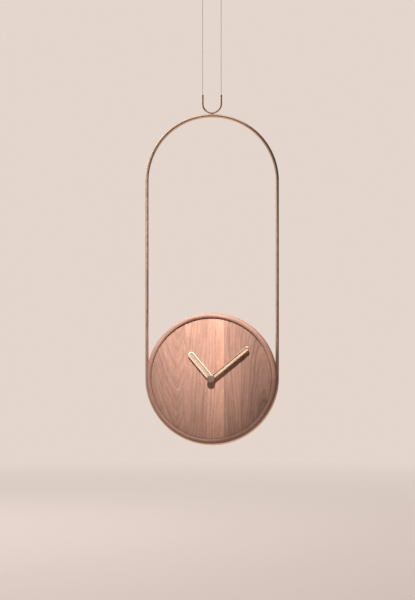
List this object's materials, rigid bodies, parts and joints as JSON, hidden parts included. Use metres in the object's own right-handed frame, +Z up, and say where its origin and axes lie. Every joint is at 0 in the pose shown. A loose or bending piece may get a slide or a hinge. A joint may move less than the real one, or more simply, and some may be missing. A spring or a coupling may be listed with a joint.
{
  "type": "hanging wall clock",
  "caption": "Round wooden drum clock in a tall slim brass rod loop, hung on two fine cables from a ceiling fitting, with a quartz movement inside.",
  "frame": {"origin": "centre of the ceiling plate's top face, which lies against the ceiling", "axes": "+Z up towards the ceiling, +X to the right of someone who reads the dial, +Y towards the wall, so the dial faces -Y"},
  "size_m": [0.2996, 0.076, 1.0778],
  "materials": {
    "brass_polished": "polished brass rod with fine draw lines",
    "brass_satin": "satin brushed brass",
    "brass_dark": "dark satin brass",
    "steel": "bright zinc-plated or stainless steel",
    "walnut_case": "oiled walnut, satin",
    "walnut_dial": "oiled walnut boards, matt",
    "plywood": "raw birch plywood",
    "felt": "pressed felt",
    "black_plastic": "moulded ABS, fine texture",
    "gear_plastic": "moulded acetal",
    "copper": "enamelled copper wire",
    "circuit": "solder mask on glass-fibre board",
    "battery_skin": "printed steel sleeve",
    "magnet": "sintered magnet"
  },
  "bodies": {
    "ceiling_fitting": {"ceiling_plate": "steel", "canopy_cup": "brass_polished", "canopy_nut": "brass_polished", "hanger_fork": "brass_polished", "pivot_pin": "steel", "pin_clip": "steel"},
    "spreader": {"spreader_bar": "brass_polished"},
    "left_cable": {"cable_ball_top_left": "steel", "cable_left": "steel"},
    "right_cable": {"cable_ball_top_right": "steel", "cable_right": "steel", "cable_ball_low_right": "steel"},
    "left_lower_ball": {"cable_ball_low_left": "steel"},
    "clock": {"cable_socket_left": "brass_polished", "cable_socket_right": "brass_polished", "u_hanger": "brass_polished", "frame_arch": "brass_polished", "frame_leg_left": "brass_polished", "frame_leg_right": "brass_polished", "frame_cradle": "brass_polished", "case_ring": "walnut_case", "dial": "walnut_dial", "back_cover": "plywood", "cover_screw_1": "steel", "cover_screw_2": "steel", "cover_screw_3": "steel", "cover_screw_4": "steel", "wall_pad_1": "felt", "wall_pad_2": "felt", "wall_pad_3": "felt", "frame_screw_1": "steel", "frame_screw_2": "steel", "frame_screw_3": "steel", "housing_front": "black_plastic", "housing_rear": "black_plastic", "threaded_bushing": "brass_satin", "dial_nut": "brass_satin", "battery": "battery_skin", "contact_positive": "steel", "contact_negative": "steel", "circuit_board": "circuit", "quartz_crystal": "steel", "coil": "copper", "stator": "steel", "rotor": "magnet"},
    "minute_arbor": {"center_wheel": "brass_satin", "minute_hand": "brass_polished", "hub_cap": "brass_dark"},
    "hour_pipe": {"hour_wheel": "gear_plastic", "hour_hand": "brass_satin"},
    "motion_wheel": {"minute_wheel": "gear_plastic"},
    "third_arbor": {"third_wheel": "gear_plastic"},
    "seconds_arbor": {"seconds_wheel": "gear_plastic"},
    "knob": {"setting_knob": "gear_plastic"}
  },
  "joints": [
    {"name": "front_back_swing", "type": "hinge", "parent": "ceiling_fitting", "child": "spreader", "pos_m": [0, 0, -0.0385], "axis": [1, 0, 0], "range_deg": [-12, 1]},
    {"name": "side_swing", "type": "hinge", "parent": "spreader", "child": "left_cable", "pos_m": [-0.0208, 0, -0.0451], "axis": [0, 1, 0], "range_deg": [-10, 10]},
    {"name": "right_cable_swing", "type": "hinge", "parent": "spreader", "child": "right_cable", "pos_m": [0.0208, 0, -0.0451], "axis": [0, 1, 0], "range_deg": [-10, 10]},
    {"name": "clock_levelling", "type": "hinge", "parent": "left_cable", "child": "left_lower_ball", "pos_m": [-0.0208, 0, -0.2975], "axis": [0, 1, 0], "range_deg": [-10, 10]},
    {"name": "clock_tilt", "type": "hinge", "parent": "left_lower_ball", "child": "clock", "pos_m": [-0.0208, 0, -0.2975], "axis": [1, 0, 0], "range_deg": [-6, 1.5]},
    {"name": "minute_spin", "type": "hinge", "parent": "clock", "child": "minute_arbor", "pos_m": [0, -0.02, -0.928], "axis": [0, 1, 0], "continuous": true},
    {"name": "hour_spin", "type": "hinge", "parent": "clock", "child": "hour_pipe", "pos_m": [0, -0.018, -0.928], "axis": [0, 1, 0], "continuous": true},
    {"name": "motion_wheel_spin", "type": "hinge", "parent": "clock", "child": "motion_wheel", "pos_m": [0.008, -0.007, -0.928], "axis": [0, 1, 0], "continuous": true},
    {"name": "third_wheel_spin", "type": "hinge", "parent": "clock", "child": "third_arbor", "pos_m": [-0.00795, -0.003, -0.92341], "axis": [0, 1, 0], "continuous": true},
    {"name": "seconds_wheel_spin", "type": "hinge", "parent": "clock", "child": "seconds_arbor", "pos_m": [-0.00387, -0.001, -0.91634], "axis": [0, 1, 0], "continuous": true},
    {"name": "knob_spin", "type": "hinge", "parent": "clock", "child": "knob", "pos_m": [0.01455, 0.005, -0.93259], "axis": [0, 1, 0], "continuous": true}
  ],
  "couplings": [
    {"joint": "right_cable_swing", "follows": "side_swing", "ratio": 1},
    {"joint": "clock_levelling", "follows": "side_swing", "ratio": -1},
    {"joint": "hour_spin", "follows": "minute_spin", "ratio": 0.083333},
    {"joint": "motion_wheel_spin", "follows": "minute_spin", "ratio": -0.33333},
    {"joint": "third_wheel_spin", "follows": "minute_spin", "ratio": -8},
    {"joint": "seconds_wheel_spin", "follows": "minute_spin", "ratio": 60},
    {"joint": "knob_spin", "follows": "minute_spin", "ratio": 1}
  ]
}
